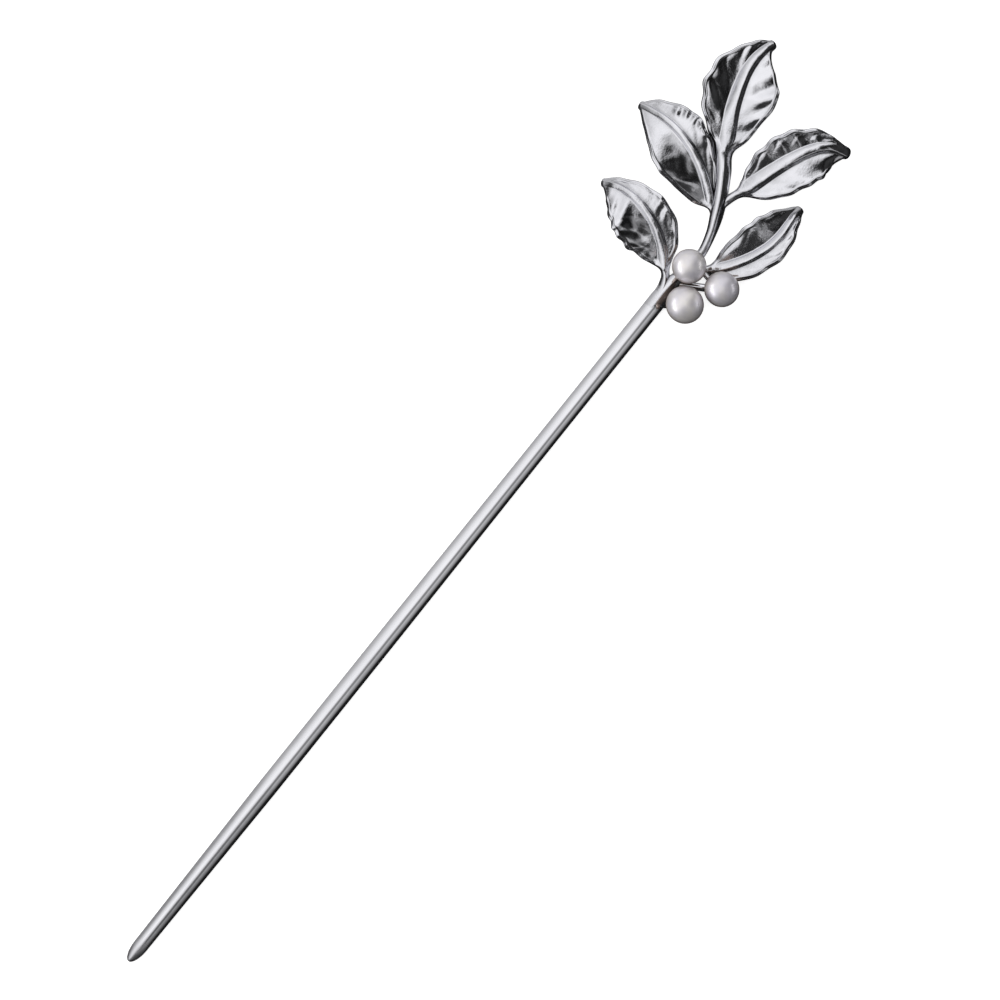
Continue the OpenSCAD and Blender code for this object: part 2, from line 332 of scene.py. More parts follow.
UPPER_LEFT = (
    (12.5, 0.7, 1.8, 0.62, 0.62),
    (14.1, 2.2, 1.7, 0.70, 0.70),
    (15.3, 3.8, 1.8, 3.05, 1.50),
    (16.9, 6.0, 2.3, 4.70, 2.20),
    (18.4, 8.7, 2.9, 5.80, 3.00),
    (19.3, 11.1, 3.3, 6.05, 3.50),
    (19.9, 13.8, 3.1, 5.50, 3.80),
    (20.1, 16.5, 2.4, 4.25, 2.90),
    (19.9, 18.9, 1.4, 2.40, 1.80),
    (19.6, 20.5, 0.4, 0.50, 0.50),
)
LOWER_LEFT = (
    (-3.0, 0.2, 1.5, 0.90, 0.80),
    (-1.0, 0.3, 1.5, 1.05, 0.85),
    (0.8, 0.8, 1.6, 0.90, 0.80),
    (2.4, 2.1, 1.7, 0.75, 0.75),
    (3.9, 3.7, 1.9, 3.25, 1.90),
    (5.3, 5.3, 2.4, 5.00, 2.90),
    (6.6, 7.6, 3.0, 5.60, 3.45),
    (7.5, 10.1, 3.3, 5.85, 3.25),
    (7.9, 12.5, 3.1, 5.30, 2.60),
    (7.8, 14.8, 2.5, 4.30, 1.75),
    (7.4, 16.4, 1.8, 2.70, 1.15),
    (6.9, 17.5, 1.1, 0.65, 0.65),
)
UPPER_RIGHT = (
    (12.6, 0.9, 1.8, 0.60, 0.60),
    (14.8, 1.4, 1.9, 0.65, 0.70),
    (16.4, 1.3, 1.9, 0.65, 0.75),
    (18.6, 0.5, 2.0, 0.80, 0.90),
    (20.6, -0.2, 2.3, 2.15, 2.75),
    (22.8, -0.9, 2.7, 3.40, 4.05),
    (25.2, -1.7, 3.1, 4.00, 4.70),
    (27.8, -2.7, 3.1, 4.20, 4.85),
    (30.0, -3.8, 2.7, 3.55, 4.70),
    (31.7, -5.1, 2.0, 2.70, 4.20),
    (32.8, -6.7, 1.1, 1.35, 3.00),
    (33.3, -8.4, 0.4, 0.85, 0.85),
)
LOWER_RIGHT = (
    (3.6, -0.3, 1.2, 0.70, 0.70),
    (5.4, -2.0, 1.1, 0.65, 0.65),
    (6.9, -3.4, 1.1, 0.80, 0.80),
    (8.2, -4.6, 1.3, 2.40, 2.00),
    (10.2, -6.0, 1.9, 3.70, 2.90),
    (12.5, -7.2, 2.6, 4.40, 2.90),
    (14.9, -8.0, 2.9, 4.60, 2.85),
    (17.3, -8.3, 2.8, 4.30, 2.40),
    (19.5, -8.2, 2.3, 3.30, 1.70),
    (21.2, -8.1, 1.6, 1.60, 1.20),
    (22.2, -8.2, 0.9, 0.75, 0.75),
)

# %% [markdown]
# Nothing in a leaf changes with a kink, so a smooth curve through a table's rows gives a row
# anywhere between them. It passes through every row, so the sizes in the table hold, which a curve
# that only comes near its points wouldn't do.

# %% A smooth curve through a table
def smooth(a):
    """0 below 0, 1 above 1, and an even S curve between."""
    t = np.clip(a, 0.0, 1.0)
    return t * t * (3 - 2 * t)


def row_at(rows, t):
    """A table's row at a place t between its rows, on a smooth curve through all of them."""
    last = len(rows) - 1
    i = min(int(t), last - 1)
    f = t - i
    p0, p1, p2, p3 = (np.array(rows[k]) for k in (max(i - 1, 0), i, i + 1, min(i + 2, last)))
    return (2 * p1 + (p2 - p0) * f + (2 * p0 - 5 * p1 + 4 * p2 - p3) * f ** 2
            + (3 * p1 - p0 - 3 * p2 + p3) * f ** 3) / 2


# %% [markdown]
# A leaf's section is a shallow V: from the rim it falls to the foot of the rib, climbs over the
# round rib and rises again to the other rim. On each half the side veins are narrow grooves that
# lean towards the tip, with soft pillows between them. The pillows grow towards the rim, and they
# are what breaks the mirror into light and dark streaks. Just inside the rim a thin raised line
# follows it. The rim is a rounded edge, and it swells out a little at each pillow, which gives the
# outline its scallops.

# %% The shape of half a blade
RIM_T = 0.5                               # mm, thickness of the blade at its rim
GROOVE_SOFT = 0.03                        # 0 for a sharp groove between pillows, more for a soft one
PILLOW_MEAN = 0.65                        # how much of a pillow lies below the plain blade
VEIN_LEAN = 1.5                           # how far a groove leans forward up to the rim, in waves
RIM_DROP, RIM_TURN = 0.25, 6              # share of the rise that the rim turns down again, and how late
LIP_IN, LIP_W, LIP_H = 0.27, 0.15, 0.13   # mm, raised line: how far inside the rim, half width, height
LIP_START = 0.25                          # share of the blade's length over which the line rises
LEAST_REACH = 0.02                        # mm, least distance from the rib's foot to the rim
# Places across a half, from the rim (1) to the rib (0), closer together near the rim
HALF = np.concatenate([np.linspace(1.0, 0.84, 11), np.linspace(0.82, 0.0, 20)])
EDGE = np.radians(np.linspace(90, -90, 9))[1:-1]    # the rounded edge, from above to below


def pillow(leaf, side, u, along):
    """Height from about -0.5 to 0.4 of the pillows between the side veins, at u across the half."""
    waves = leaf["waves"][side]
    phase = math.pi * (waves * along + leaf["shift"][side] - VEIN_LEAN * u)
    return np.sqrt(np.sin(phase) ** 2 + GROOVE_SOFT) - PILLOW_MEAN


def scallop(leaf, side, along):
    """How far the rim swells, from -0.5 to 0.5, in step with the pillows."""
    return -0.5 * math.cos(2 * math.pi * (leaf["waves"][side] * along + leaf["shift"][side] - VEIN_LEAN))


def half_height(leaf, side, run, u, along):
    """Height of a half blade above the rib's foot, u from the rib (0) to the rim (1)."""
    plain = run * u * (1 + RIM_DROP - RIM_DROP * u ** RIM_TURN)
    return plain + leaf["depth"][side] * math.sin(math.pi * along) * u * pillow(leaf, side, u, along)


def half_blade(leaf, side, width, rib_w, body_t, along, grow):
    """Distances from the rib's middle, heights and thicknesses of a half, from the rim to the rib."""
    edge_t = min(RIM_T, body_t)
    width = width * (1 + leaf["scallop"][side] * grow * scallop(leaf, side, along))
    reach = max(width - rib_w - edge_t / 2, LEAST_REACH)
    run = math.tan(math.radians(leaf["slope"][side])) * (width - rib_w) * grow
    height = half_height(leaf, side, run, HALF, along)
    from_lip = (1 - HALF) * reach - LIP_IN
    height += LIP_H * grow * smooth(along / LIP_START) * np.exp(-(from_lip / LIP_W) ** 2)
    return rib_w + reach * HALF, height, body_t + (edge_t - body_t) * HALF


def rounded_edge(across, height, thick):
    """Points round the edge of a rim, from above to below."""
    radius = thick[0] / 2
    return np.stack([across[0] + radius * np.cos(EDGE), height[0] + radius * np.sin(EDGE)], 1)


# %% [markdown]
# The two halves and the rib between them make the upper side of a section, and the under side
# follows the blade's thickness below it. The rib is a mound, whose crest leans to one side as it
# does on the real leaves. Towards the tip the rib gets lower and the blade thinner.

# %% The section of a blade
BLADE_T, RIB_H = 0.9, 0.6                 # mm, thickness of the blade at its rib, height of the rib
TIP_BLADE, TIP_RIB = 0.65, 0.35           # shares of them that are left at the tip
TIP_SHARE = 0.3                           # share of the blade's length over which it thins
BASE_SHARE, END_SHARE = 0.1, 0.2          # shares of it where the halves rise and come down again
RIB_SPARE = 0.2                           # share of the narrower half that the rib leaves to the blade
RIB_ROUND, RIB_CREST = 2.2, 0.35          # 2 for round flanks; how far the crest leans to the right
RIB = np.linspace(-1.0, 1.0, 17)[1:-1]    # places across the rib, from left to right
UNDER = np.linspace(1.0, -1.0, 31)        # places along the under side, from right to left
TO_THE_RIGHT = (-1, 1)                    # mirrors a half's points to the right of the rib


def thinned(at_tip, along):
    """A size's share at a place along the blade: whole, then less towards the tip."""
    return at_tip + (1 - at_tip) * smooth((1 - along) / TIP_SHARE)


def under_side(halves):
    """Points of the under side, from the right rim to the left one."""
    points = []
    for v in UNDER:
        across, height, thick = halves[0 if v < 0 else 1]
        out = abs(v) * across[0]
        below = np.interp(out, across[::-1], (height - thick / 2)[::-1])
        points.append([-math.copysign(out, v), below])
    return np.array(points)


def blade_section(leaf, widths, along, opened):
    """The upper side of a blade from the left rim to the right one, then its edge and under side."""
    grow = smooth(along / BASE_SHARE) * smooth((1 - along) / END_SHARE)
    body_t = BLADE_T * thinned(TIP_BLADE, along)
    rib_base, rib_tip = leaf["rib"]
    rib_w = min(rib_base + (rib_tip - rib_base) * along, widths.min() * (1 - RIB_SPARE * opened))
    flank = np.abs(RIB - RIB_CREST) / np.where(RIB < RIB_CREST, 1 + RIB_CREST, 1 - RIB_CREST)
    rise = RIB_H * thinned(TIP_RIB, along)
    rib = np.stack([-RIB * rib_w, body_t / 2 + rise * (1 - flank ** RIB_ROUND)], 1)
    halves = [half_blade(leaf, side, widths[side], rib_w, body_t, along, grow) for side in (0, 1)]
    left, right = (np.stack([across, height + thick / 2], 1) for across, height, thick in halves)
    left_edge, right_edge = (rounded_edge(*half) for half in halves)
    upper = np.concatenate([left_edge[::-1], left, rib, right[::-1] * TO_THE_RIGHT])
    lower = np.concatenate([right_edge * TO_THE_RIGHT, under_side(halves)])
    return upper, lower


# %% [markdown]
# A stem is a round bar. On three of the five the upper right side is a flat or nearly flat slope,
# which puts a long dark stripe beside the bright one. The stem and its blade are one piece on the
# real leaf, so they are one skin here: each ring of the stem has as many points as a ring of the
# blade, and between two rows of the table the one shape turns into the other.

# %% The section of a stem, and the ring that joins both
STEM_UPPER, STEM_UNDER = (-100, 90), (96, 254)    # degrees round a stem that its two sides take
NEAR = 0.1                                # in rows, how far to each side of a place its way is read


def stem_section(leaf, t, widths, upper_count, lower_count):
    """The section of a stem, with as many upper and lower points as its blade has."""
    angle = np.radians(np.concatenate([
        np.linspace(*STEM_UPPER, upper_count), np.linspace(*STEM_UNDER, lower_count)]))
    side_w = np.where(np.sin(angle) < 0, widths[0], widths[1])
    narrow = min(widths.min(), row_at(leaf["rows"], min(t, leaf["first"]))[3:5].min())
    stem_h = narrow * (1 + (leaf["tall"] - 1) * smooth(t))
    upper_right = (np.sin(angle) > 0) & (np.cos(angle) > 0)
    power = np.where(upper_right, 2 / (2 - (2 - leaf["bevel"]) * smooth(t / 2)), 1.0)
    return np.stack([
        -np.sign(np.sin(angle)) * np.abs(np.sin(angle)) ** power * side_w,
        np.sign(np.cos(angle)) * np.abs(np.cos(angle)) ** power * stem_h], 1)


def section(leaf, t):
    """One ring of a leaf, at a place t in its table: a stem's section that opens into the blade's."""
    rows, first = leaf["rows"], leaf["first"]
    row = row_at(rows, t)
    last = len(rows) - 1
    step = row_at(rows, min(t + NEAR, last)) - row_at(rows, max(t - NEAR, 0.0))
    ahead = step[:2] / np.linalg.norm(step[:2])
    opened = smooth(t - first)
    upper, lower = blade_section(leaf, row[3:5], max(0.0, (t - first) / (last - first)), opened)
    stem = stem_section(leaf, t, row[3:5], len(upper), len(lower))
    flat = stem * (1 - opened) + np.concatenate([upper, lower]) * opened
    return np.stack([
        row[0] - ahead[1] * flat[:, 0], row[1] + ahead[0] * flat[:, 0], row[2] + flat[:, 1]], 1)


# %% [markdown]
# Rings at close, even steps carry a section along the table. The last one would leave a sawn-off
# end, so three smaller rings beyond it round off the tip.

# %% Rings along a leaf
PER_ROW = 14                # rings between two rows of a leaf's table
TIP_LENGTH = 0.8            # length of the rounded tip, as a share of its half width
TIP_BENDS = (25, 50, 75)    # degrees round the tip, a ring for each


def leaf_rings(leaf):
    """Rings of a leaf from the stem to the tip, with smaller ones beyond that round the tip."""
    last = len(leaf["rows"]) - 1
    rings = [section(leaf, t) for t in np.linspace(0, last, last * PER_ROW + 1)]
    tip, before = rings[-1], rings[-2]
    centre = tip.mean(0)
    ahead = (centre - before.mean(0)) / np.linalg.norm(centre - before.mean(0))
    blunt = TIP_LENGTH * leaf["rows"][-1][3]
    for bend in np.radians(TIP_BENDS):
        rings.append(centre + (tip - centre) * math.cos(bend) + ahead * blunt * math.sin(bend))
    return rings


# %% [markdown]
# No leaf is even. Each has soft dents and swellings beside its rib and small blisters near its
# rim, which make the light and dark patches wander over it. A row in the table places one of
# them, and the surface rises or sinks there as a smooth bell. Under this lamp the side of a bell
# that faces the lamp (+Y) is bright and its other side is dark, so a dark patch is a hollow that
# sits just to its right, or a swelling just to its left.

# %% Dents and swellings of the leaves
# Columns: x and y of its middle, half length, half width, turn of its length from x in degrees,
# and its height, which is below zero for a dent.
RELIEF = {
    "leaf_top": (
        (28.0, 14.0, 4.5, 0.9, 40, 0.30),       # the turned left rim
        (31.0, 12.0, 4.0, 1.3, 25, -0.30),      # long hollow left of the rib
        (25.0, 9.5, 2.5, 0.8, 35, 0.25),        # swelling at the foot of the left half
        (35.5, 12.5, 2.0, 1.0, 15, 0.20),       # swelling near the tip
        (33.6, 6.6, 2.4, 1.1, -30, -0.50),      # three hollows between the right side veins
        (30.6, 5.4, 2.2, 1.0, -30, -0.50),
        (27.4, 4.8, 2.0, 0.9, -30, -0.45),
    ),
    "leaf_upper_left": (
        (17.0, 12.0, 2.4, 2.0, 90, -0.32),      # broad hollow in the left half
        (18.0, 17.0, 2.5, 1.2, 70, 0.25),       # swelling near the tip
        (14.5, 8.0, 2.0, 1.0, 120, 0.25),       # swelling at the lower left rim
        (22.2, 15.6, 0.7, 0.5, 20, 0.40),       # blisters along the right rim
        (22.8, 14.2, 0.7, 0.5, 20, 0.40),
        (22.9, 12.8, 0.7, 0.5, 20, 0.40),
        (22.8, 11.5, 0.7, 0.5, 20, 0.40),
        (22.5, 10.2, 0.7, 0.5, 20, 0.40),
    ),
    "leaf_lower_left": (
        (3.8, 8.8, 2.5, 1.8, 60, -0.40),        # broad hollow in the left half
        (3.0, 5.8, 2.0, 1.0, 20, 0.25),         # swelling at its foot
        (5.5, 12.5, 2.2, 0.8, 20, 0.30),        # swelling across the upper left half
        (4.8, 14.2, 2.0, 0.6, 25, 0.35),        # two folds across it nearer the tip
        (6.0, 15.8, 1.6, 0.6, 15, 0.35),
        (8.8, 5.6, 1.2, 0.8, 20, -0.25),        # hollows near the right rim
        (7.8, 3.8, 1.2, 0.8, 20, -0.25),
        (9.6, 9.0, 1.4, 0.7, 20, 0.35),         # and swellings beside them
        (9.0, 7.2, 1.2, 0.6, 20, 0.30),
    ),
    "leaf_upper_right": (
        (25.5, 1.5, 1.6, 0.6, 80, 0.20),        # folds across the left half
        (28.0, 0.5, 1.8, 0.6, 75, 0.20),
        (30.3, -1.0, 1.8, 0.6, 70, 0.20),
        (32.0, -3.5, 1.6, 0.6, 60, 0.20),
        (28.0, -6.5, 2.0, 1.0, -30, -0.20),     # hollow in the right half
        (32.8, -8.2, 3.2, 2.6, 60, 1.00),       # the tip, bent up again
        (32.6, -5.2, 1.8, 0.8, -60, 0.35),      # folds along both sides of the tip
        (31.5, -7.2, 1.8, 0.8, -40, 0.30),
        (24.0, -4.0, 2.0, 1.0, -50, 0.20),      # swelling at its foot
    ),
    "leaf_lower_right": (
        (16.0, -7.2, 4.5, 1.3, -10, -0.25),     # long hollow left of the rib
        (10.5, -4.0, 2.0, 0.8, -20, 0.20),      # swelling at its foot
        (20.0, -6.5, 1.8, 0.8, -30, 0.25),      # swelling near the tip
        (13.0, -9.0, 2.0, 0.9, -30, -0.20),     # hollow in the right half
        (17.5, -9.8, 1.8, 0.8, 10, 0.20),       # swelling near the right rim
    ),
}

# %% [markdown]
# A leaf is drawn as its plain form first and gets its dents afterwards, so that one function
# serves all five. It lifts or lowers each point by what the bells add up to there. The blade also
# gets a low, soft unevenness, as hand-worked wax has before it is cast. It comes from noise with a
# fixed pattern, so every run makes the same leaf.

# %% Shape the dents, and roughen the blade
ROUGH_SIZE, ROUGH_HEIGHT = 1.3, 0.05      # mm, size and height of the blade's soft unevenness


def unevenness(points):
    """Height in mm of a smooth, fixed noise at points given in mm."""
    flat = points.reshape(-1, 3) / ROUGH_SIZE
    heights = [noise.noise(Vector((x, y, 0.0))) for x, y, _ in flat]
    return ROUGH_HEIGHT * np.array(heights).reshape(points.shape[:-1])


def swell(rings, rows, first):
    """Raises or sinks the points of rings where the table says, and roughens the blade a little."""
    rings = np.array(rings)
    blade = smooth(np.arange(len(rings)) / PER_ROW - first)
    rings[..., 2] += blade[:, None] * unevenness(rings)
    x, y = rings[..., 0], rings[..., 1]
    for middle_x, middle_y, length, width, turn, height in rows:
        ahead = np.array([math.cos(math.radians(turn)), math.sin(math.radians(turn))])
        u = (x - middle_x) * ahead[0] + (y - middle_y) * ahead[1]
        v = (y - middle_y) * ahead[0] - (x - middle_x) * ahead[1]
        rings[..., 2] += height * np.exp(-(u / length) ** 2 - (v / width) ** 2)
    return rings


# %% [markdown]
# The five leaves differ in how steeply their halves rise from the rib, how deep and how many the
# pillows are, and where the first vein starts. The cast metal of the leaves is tumbled, not
# buffed, so the same plating is a shade rougher there and has a fine grain. In its recesses the
# colour is painted much darker, a painted shade. The real grain is about a tenth of a
# millimetre, which is too fine to show, so it is drawn three times as coarse.

# %% Cast silver plate, and the five leaves
CAST_GRAIN, CAST_GRAIN_H = 0.35, 0.035    # mm, size and height of the grain that the mould leaves
# The colour for recesses here is a painted shade, very dark, for the leaves' hollows and crevices.
cast_plate = silver_plate(
    "cast_silver_plate", roughness=0.14, grain_size=CAST_GRAIN, grain_height=CAST_GRAIN_H,
    bright="#ECECF0", dull="#D4D4DA", painted_shade_colour="#26262A")

# first: the row where the stem opens into the blade. bevel: 2 for a round stem, 1 for one whose
# upper right side is a flat slope. tall: a stem's height to its width. rib: half width of the rib
# in mm, at its base and at its tip. The other pairs are for the left and the right half. slope:
# degrees that it rises from the rib. waves: pillows along it. depth: about how high they are at
# the rim, in mm. shift: where the first one starts, in waves. scallop: how far the rim swells, as a
# share of the width.
LEAVES = {
    "leaf_top": dict(
        rows=TOP, first=10, bevel=1.15, tall=1.0, rib=(1.3, 0.55), slope=(9, 11),
        waves=(7, 5), depth=(0.30, 0.15), shift=(0.0, 0.2), scallop=(0.07, 0.01)),
    "leaf_upper_left": dict(
        rows=UPPER_LEFT, first=1, bevel=1.15, tall=1.0, rib=(0.85, 0.45), slope=(8, 12),
        waves=(5, 7), depth=(0.05, 0.18), shift=(0.0, 0.0), scallop=(0.02, 0.06)),
    "leaf_lower_left": dict(
        rows=LOWER_LEFT, first=3, bevel=1.0, tall=1.4, rib=(0.85, 0.45), slope=(8, 12),
        waves=(7, 6), depth=(0.12, 0.15), shift=(0.0, 0.0), scallop=(0.04, 0.05)),
    "leaf_upper_right": dict(
        rows=UPPER_RIGHT, first=3, bevel=2.0, tall=1.0, rib=(1.25, 0.7), slope=(11, 12),
        waves=(7, 6), depth=(0.22, 0.12), shift=(0.0, 0.0), scallop=(0.07, 0.04)),
    "leaf_lower_right": dict(
        rows=LOWER_RIGHT, first=2, bevel=2.0, tall=1.0, rib=(0.85, 0.5), slope=(12, 12),
        waves=(5, 6), depth=(0.12, 0.20), shift=(0.0, 0.0), scallop=(0.04, 0.05)),
}
for name, leaf in LEAVES.items():
    rings = swell(leaf_rings(leaf), RELIEF[name], leaf["first"])
    print(name, "lowest point, mm:", round(float(rings[..., 2].min()), 3))
    skin(name, rings, cast_plate, "leaf_stick")

# %% [markdown]
# ## The pearls' seats
# Under each pearl a short foot stands on the metal. Its top is hollowed to the pearl, and a peg
# in the middle goes up into the pearl's drilled hole. The seats hardly show from above, but they
# carry the pearls when the stick is seen from the side. A seat is round, so it is turned like the
# stick, only upright: an outline of radii and heights becomes a stack of rings.

# %% Seats and pegs
FOOT_R, PEG_R, PEARL_GAP = 0.95, 0.45, 0.06     # mm, a foot, its peg, and the clearance for the glue
FOOT_FACE = 0.9                                 # share of the foot's radius that is flat below
FOOT_BEVEL, LIP_BEVEL, PEG_BEVEL = 0.08, 0.05, 0.06     # mm, the small bevels at a seat's edges
MIDDLE_R = 0.05                                 # mm, the smallest ring, in the middle of an end
DISH_RINGS = 6                                  # rings down the hollow
PEARLS = {
    # centre, diameter, height where the foot begins
    "pearl_low": ((0.0, -3.6, 4.5), 5.8, 0.8),
    "pearl_top": ((4.9, -0.5, 4.9), 5.3, 1.3),
    "pearl_right": ((5.3, -6.5, 4.3), 5.4, 0.8),
}


def lathe(centre, profile, around=48):
    """Rings round an upright line through centre; the profile is pairs of radius and height."""
    angles = np.linspace(0, 2 * math.pi, around, endpoint=False)
    return [np.stack([centre[0] + r * np.cos(angles), centre[1] + r * np.sin(angles), np.full(around, z)], 1)
            for r, z in profile]


def seat_profile(centre_z, pearl_r, foot_z):
    """Outline of a seat from the middle of its foot over the cup's lip to the top of its peg."""
    inner = pearl_r + PEARL_GAP
    lip = centre_z - math.sqrt(pearl_r ** 2 - FOOT_R ** 2)
    side = [
        (MIDDLE_R, foot_z), (FOOT_R * FOOT_FACE, foot_z), (FOOT_R, foot_z + FOOT_BEVEL),
        (FOOT_R, lip - FOOT_BEVEL), (FOOT_R - LIP_BEVEL, lip)]
    dish = [
        (r, centre_z - math.sqrt(inner ** 2 - r ** 2))
        for r in np.linspace(FOOT_R - FOOT_BEVEL, PEG_R, DISH_RINGS)]
    peg = [(PEG_R, centre_z - PEG_BEVEL), (PEG_R - PEG_BEVEL, centre_z), (MIDDLE_R, centre_z)]
    return side + dish + peg


for name, (centre, diameter, foot_z) in PEARLS.items():
    profile = seat_profile(centre[2], diameter / 2, foot_z)
    skin("seat_of_" + name, lathe(centre, profile), polished_plate, "leaf_stick")

# %% [markdown]
# Two of the pearls sit beside the stems. Short arms reach out to carry them, one to the low pearl
# and two to the right one. Each is a round bar with round ends, which are sunk in what they join,
# as soldered wire is.

# %% Arms
ARM_R = 0.6                 # mm
ARM_END, ARM_END_RINGS = 88, 8      # degrees round an end to its last ring, and rings on the way
ARMS = {
    "arm_low": ((-2.2, -0.5, 0.9), (0.0, -3.6, 0.85)),
    "arm_right": ((5.9, -2.5, 1.0), (5.3, -6.5, 0.85)),
    "arm_between": ((1.8, -0.6, 1.1), (5.3, -6.5, 0.85)),
}


def arm_rings(start, end, radius, around=32):
    """Rings of a round bar between two points, with rounded ends."""
    start, end = np.array(start), np.array(end)
    ahead = (end - start) / np.linalg.norm(end - start)
    side = np.cross(ahead, (0, 0, 1))
    side /= np.linalg.norm(side)
    up = np.cross(side, ahead)
    angles = np.linspace(0, 2 * math.pi, around, endpoint=False)
    circle = np.outer(np.cos(angles), side) + np.outer(np.sin(angles), up)
    bend = np.radians(np.linspace(ARM_END, 0, ARM_END_RINGS))
    first = [start - ahead * radius * math.sin(b) + circle * radius * math.cos(b) for b in bend]
    final = [end + ahead * radius * math.sin(b) + circle * radius * math.cos(b) for b in bend[::-1]]
    return first + final


for name, (start, end) in ARMS.items():
    skin(name, arm_rings(start, end, ARM_R), polished_plate, "leaf_stick")

# %% [markdown]
# ## The pearls
# A pearl is a bead under many thin layers of nacre. Light goes a little way in and comes back
# soft, while the top layer gives a gloss that is never quite sharp. So the shader mixes a pale
# body with some of the mirror of a metal, under a clear coat. The body shifts from lilac grey to
# cream in slow clouds. Underneath, its colour is painted darker and warmer, a painted shade with a
# painted warm reflection. The edges of the real layers lie closer than the picture can show, so
# their ripples are drawn coarser, half a millimetre apart.

# %% Nacre
CLOUD_SIZE = 2.4            # mm, a cloud of colour on a pearl
CLOUD_EDGE = (0.38, 0.64)   # noise values where the clouds are fully lilac grey and fully cream
LAYER_EDGE = 0.5            # mm, distance between the low ripples where layers of nacre end
LAYER_H = 0.004             # mm, height of the ripples
PAINTED_UNDERSIDE_EDGE = (0.45, 0.05)    # how far the surface faces up where the painted shade and warm reflection begin and are full


def nacre():
    """Pearl: cloudy body colours, a painted shade and warm reflection underneath, a metallic lustre and a
    clear top coat.
    """
    material, tree, shader = new_material("nacre", {
        "Metallic": 0.45, "Roughness": 0.42, "IOR": 1.53, "Coat Weight": 0.7,
        "Coat Roughness": 0.17, "Coat IOR": 1.5})
    place = add(tree, "ShaderNodeTexCoord").outputs["Object"]
    clouds = add(tree, "ShaderNodeTexNoise", {
        "Vector": place, "Scale": per_metre(CLOUD_SIZE), "Detail": 4.0})
    ripples = add(tree, "ShaderNodeTexNoise", {
        "Vector": place, "Scale": per_metre(LAYER_EDGE), "Detail": 3.0})
    body = add(tree, "ShaderNodeValToRGB", {"Fac": clouds.outputs["Fac"]})
    lilac, cream = body.color_ramp.elements
    lilac.position, lilac.color = CLOUD_EDGE[0], colour("#D3D0D8")
    cream.position, cream.color = CLOUD_EDGE[1], colour("#E4E0DE")
    # Painted shade and painted warm reflection: the colour turns darker and browner where the surface faces
    # down.
    faces = add(tree, "ShaderNodeNewGeometry").outputs["Normal"]
    up = add(tree, "ShaderNodeSeparateXYZ", {"Vector": faces}).outputs["Z"]
    flank = add(tree, "ShaderNodeMapRange", {
        "Value": up, "From Min": PAINTED_UNDERSIDE_EDGE[0], "From Max": PAINTED_UNDERSIDE_EDGE[1]})
    body_with_painted_underside = add(tree, "ShaderNodeMix", {
        "Factor": flank.outputs["Result"], "A": body.outputs["Color"], "B": colour("#A39287"),
    }, data_type="RGBA")
    relief = add(tree, "ShaderNodeBump", {"Height": ripples.outputs["Fac"], "Distance": LAYER_H * MM})
    tree.links.new(body_with_painted_underside.outputs["Result"], shader.inputs["Base Color"])
    tree.links.new(relief.outputs["Normal"], shader.inputs["Normal"])
    print("material:", material.name)
    return material


pearl_nacre = nacre()

# %% [markdown]
# No pearl is a perfect ball: each of these is about a tenth of a millimetre narrower one way. The
# drilled hole is hidden by the seat below it, so the bead is drawn whole. Rings from pole to pole,
# closed by a tiny face at each, keep that slightly oval form exactly.

# %% Pearls
POLE = 0.015                # radians from a pole to its first ring
OVAL = {
    # how much smaller the radius is the narrow way, in mm, and the phase in radians that turns it
    "pearl_low": (0.05, 0.4),
    "pearl_top": (0.04, 2.1),
    "pearl_right": (0.04, 1.2),
}


def pearl_rings(centre, diameter, oval, around=96, up=64):
    """Rings of a nearly round ball, from its lower pole to its upper one."""
    rings = []
    for polar in np.linspace(POLE, math.pi - POLE, up):
        turn = np.linspace(0, 2 * math.pi, around, endpoint=False)
        r = diameter / 2 - oval[0] * (1 + np.cos(2 * turn + oval[1]) * math.sin(polar) ** 2) / 2
        rings.append(np.stack([
            centre[0] + r * math.sin(polar) * np.cos(turn),
            centre[1] + r * math.sin(polar) * np.sin(turn),
            centre[2] - r * math.cos(polar)], 1))
    return rings


for name, (centre, diameter, _) in PEARLS.items():
    skin(name + "_bead", pearl_rings(centre, diameter, OVAL[name]), pearl_nacre, name)

# %% [markdown]
# ## The room
# Polished metal has no look of its own: it shows the room. The room here is a sky that is bright
# from straight above over to the left, where a wide soft lamp hangs, and duller to the right of
# it, with a grey card low on that side and a dark floor below. Its tone follows one angle,
# measured from straight up towards the lamp.
# The round stick, seen from above, only mirrors the plane that runs across it. The leaves lean
# ahead and back as well, so they also mirror what lies off that plane, where the right side of the
# room is darker. So the table has three columns of tones, and the shader fades from the first to
# one of the others as a direction leaves the plane.

# %% The sky that the metal mirrors
# Columns: angle from straight up towards the lamp (+Y) in degrees, then how bright the sky is, from
# 0 to 1: in the plane across the stick, ahead of it (+X, where the leaves point) and behind it (-X).
SKY = (
    (-180, 0.05, 0.05, 0.05),       # the dark floor of the studio
    (-95, 0.10, 0.10, 0.10),
    (-60, 0.60, 0.20, 0.15),        # the grey card low on the right, brightest across the stick
    (-38, 0.70, 0.15, 0.20),
    (-35, 0.50, 0.05, 0.15),        # the gap between the card and the lamp
    (-15, 0.50, 0.05, 0.15),
    (-10, 0.75, 0.10, 0.20),        # the soft edge of the lamp
    (0, 0.90, 0.65, 0.70),
    (20, 0.90, 0.95, 0.95),         # the lamp, from straight above to the left
    (50, 0.85, 0.90, 0.80),
    (90, 0.70, 0.70, 0.20),         # the wall behind the lamp
    (180, 0.50, 0.50, 0.05),
)
SKY_STRENGTH = 1.3                  # light of the brightness 1
PLANE_REACH = (0.05, 0.18)          # X of a direction where the first column begins to fade, and is gone


